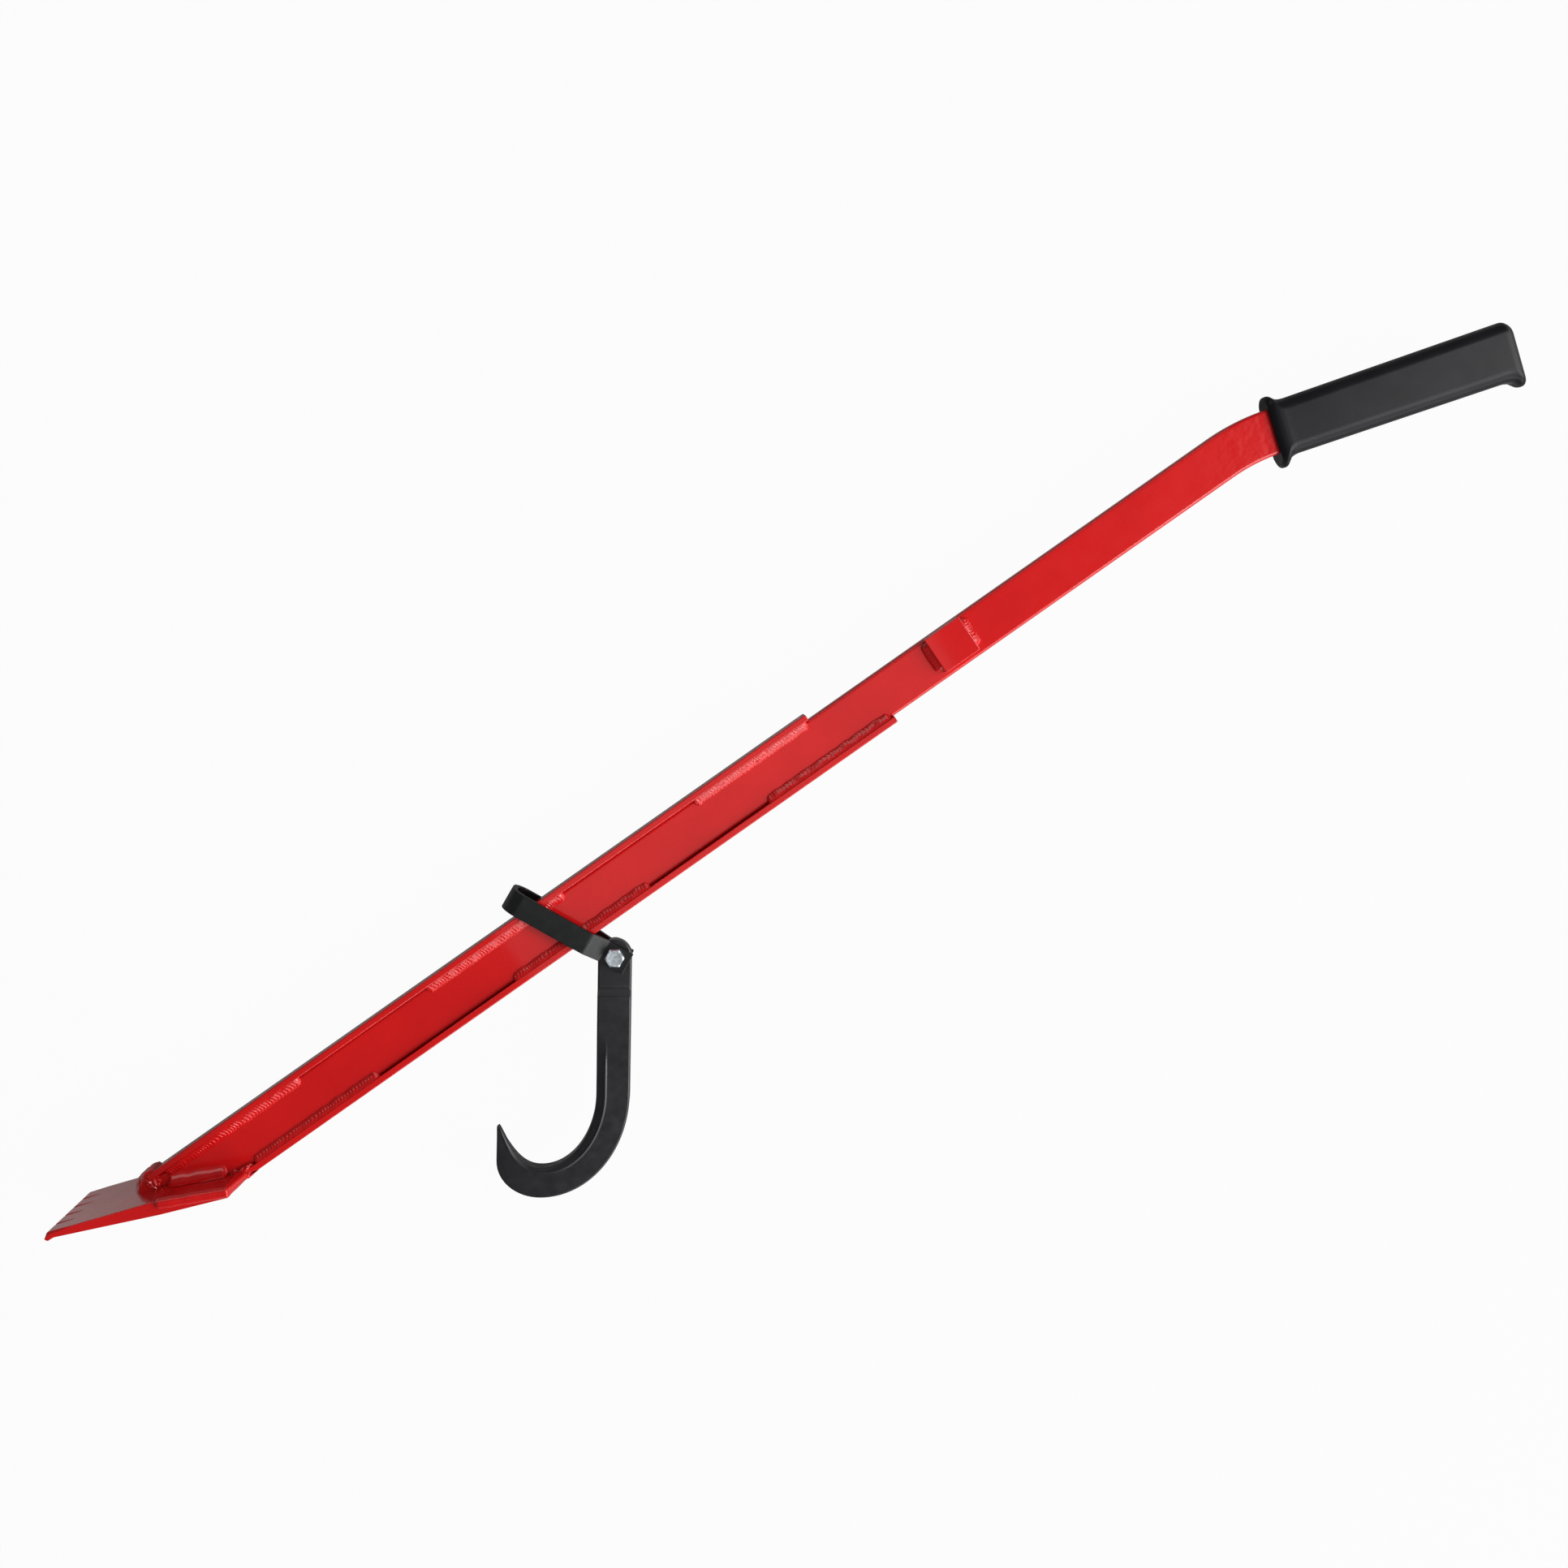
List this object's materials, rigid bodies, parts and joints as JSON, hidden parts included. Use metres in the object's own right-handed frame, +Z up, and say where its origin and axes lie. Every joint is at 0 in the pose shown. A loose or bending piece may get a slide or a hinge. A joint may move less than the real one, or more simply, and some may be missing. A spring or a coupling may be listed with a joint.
{
  "type": "felling lever",
  "caption": "Forestry felling lever: flat steel bar with a notched prying blade at one end, a bent moulded grip at the other, and a cant hook hung from a sliding stirrup.",
  "frame": {"origin": "under the middle of the whole lever's bounding box, on the ground it lies on", "axes": "+X along the bar from the blade to the grip, +Y to the bar's upper side, away from the hook, +Z up, across the bar"},
  "size_m": [1.292, 0.2202, 0.0932],
  "materials": {
    "red_paint": "gloss paint over welded steel",
    "grip_plastic": "fine moulded texture",
    "zinc_plate": "bright zinc plating",
    "black_paint": "semi-gloss black paint on bent strap",
    "forged_black": "semi-gloss black paint over a forging"
  },
  "bodies": {
    "lever": {"main_bar": "red_paint", "upper_flange": "red_paint", "lower_flange": "red_paint", "blade": "red_paint", "seam_weld_upper_near_1": "red_paint", "seam_weld_upper_near_2": "red_paint", "seam_weld_upper_near_3": "red_paint", "seam_weld_upper_far_1": "red_paint", "seam_weld_upper_far_2": "red_paint", "seam_weld_upper_far_3": "red_paint", "seam_weld_lower_near_1": "red_paint", "seam_weld_lower_near_2": "red_paint", "seam_weld_lower_near_3": "red_paint", "seam_weld_lower_far_1": "red_paint", "seam_weld_lower_far_2": "red_paint", "seam_weld_lower_far_3": "red_paint", "foot_weld_near": "red_paint", "foot_weld_far": "red_paint", "foot_weld_front": "red_paint", "foot_weld_rear": "red_paint", "edge_weld_near": "red_paint", "edge_weld_far": "red_paint", "stop_block_near": "red_paint", "stop_block_far": "red_paint", "stop_weld_near_front": "red_paint", "stop_weld_near_rear": "red_paint", "stop_weld_far_front": "red_paint", "stop_weld_far_rear": "red_paint", "grip": "grip_plastic"},
    "pivot": {"pivot_bolt": "zinc_plate", "pivot_washer": "zinc_plate", "pivot_nut": "zinc_plate"},
    "stirrup": {"stirrup": "black_paint"},
    "hook": {"hook": "forged_black"}
  },
  "joints": [
    {"name": "stirrup_slide", "type": "slide", "parent": "lever", "child": "pivot", "axis": [1, 0, 0], "range_m": [-0.292, 0.281]},
    {"name": "stirrup_tilt", "type": "hinge", "parent": "pivot", "child": "stirrup", "pos_m": [-0.19004, 0.02174, 0.0456], "axis": [0, 0, 1], "range_deg": [-56, 6.5]},
    {"name": "hook_swing", "type": "hinge", "parent": "pivot", "child": "hook", "pos_m": [-0.19004, 0.02174, 0.0456], "axis": [0, 0, 1], "range_deg": [-28, 131]}
  ]
}
